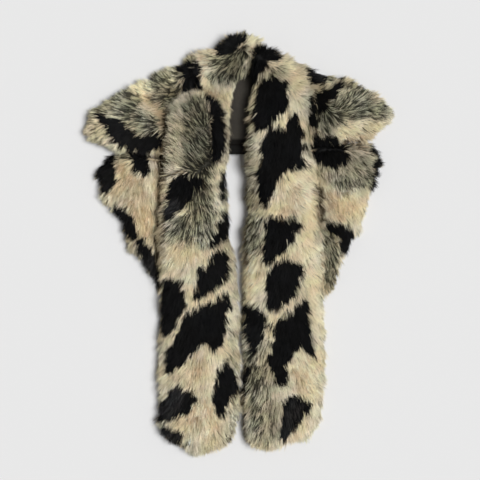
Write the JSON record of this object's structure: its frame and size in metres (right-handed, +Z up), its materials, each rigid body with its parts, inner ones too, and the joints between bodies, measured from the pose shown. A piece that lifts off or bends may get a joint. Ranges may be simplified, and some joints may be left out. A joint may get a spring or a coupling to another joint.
{
  "type": "fur collar wrap",
  "caption": "Deep-pile patterned fur collar wrap laid flat, with folded shoulders, spread lapels and two long lappets side by side down the front.",
  "frame": {"origin": "middle of the box around the wrap, on the surface that it lies on", "axes": "+X across the wrap to its right as seen from above, +Y from the ends of the lappets to the nape, +Z up from the surface"},
  "size_m": [0.61, 0.837, 0.0743],
  "materials": {
    "fur": "deep faux fur pile, cream with black and grey patches",
    "lining": "smooth dark lining cloth",
    "hem_tape": "matt black tape"
  },
  "bodies": {
    "root": {"back_yoke": "fur", "hem_tape": "hem_tape", "lining": "lining", "nape_collar": "fur", "shoulder_left": "fur", "shoulder_right": "fur", "lapel_left": "fur", "lapel_right": "fur", "lappet_left": "fur", "lappet_right": "fur"}
  },
  "joints": []
}
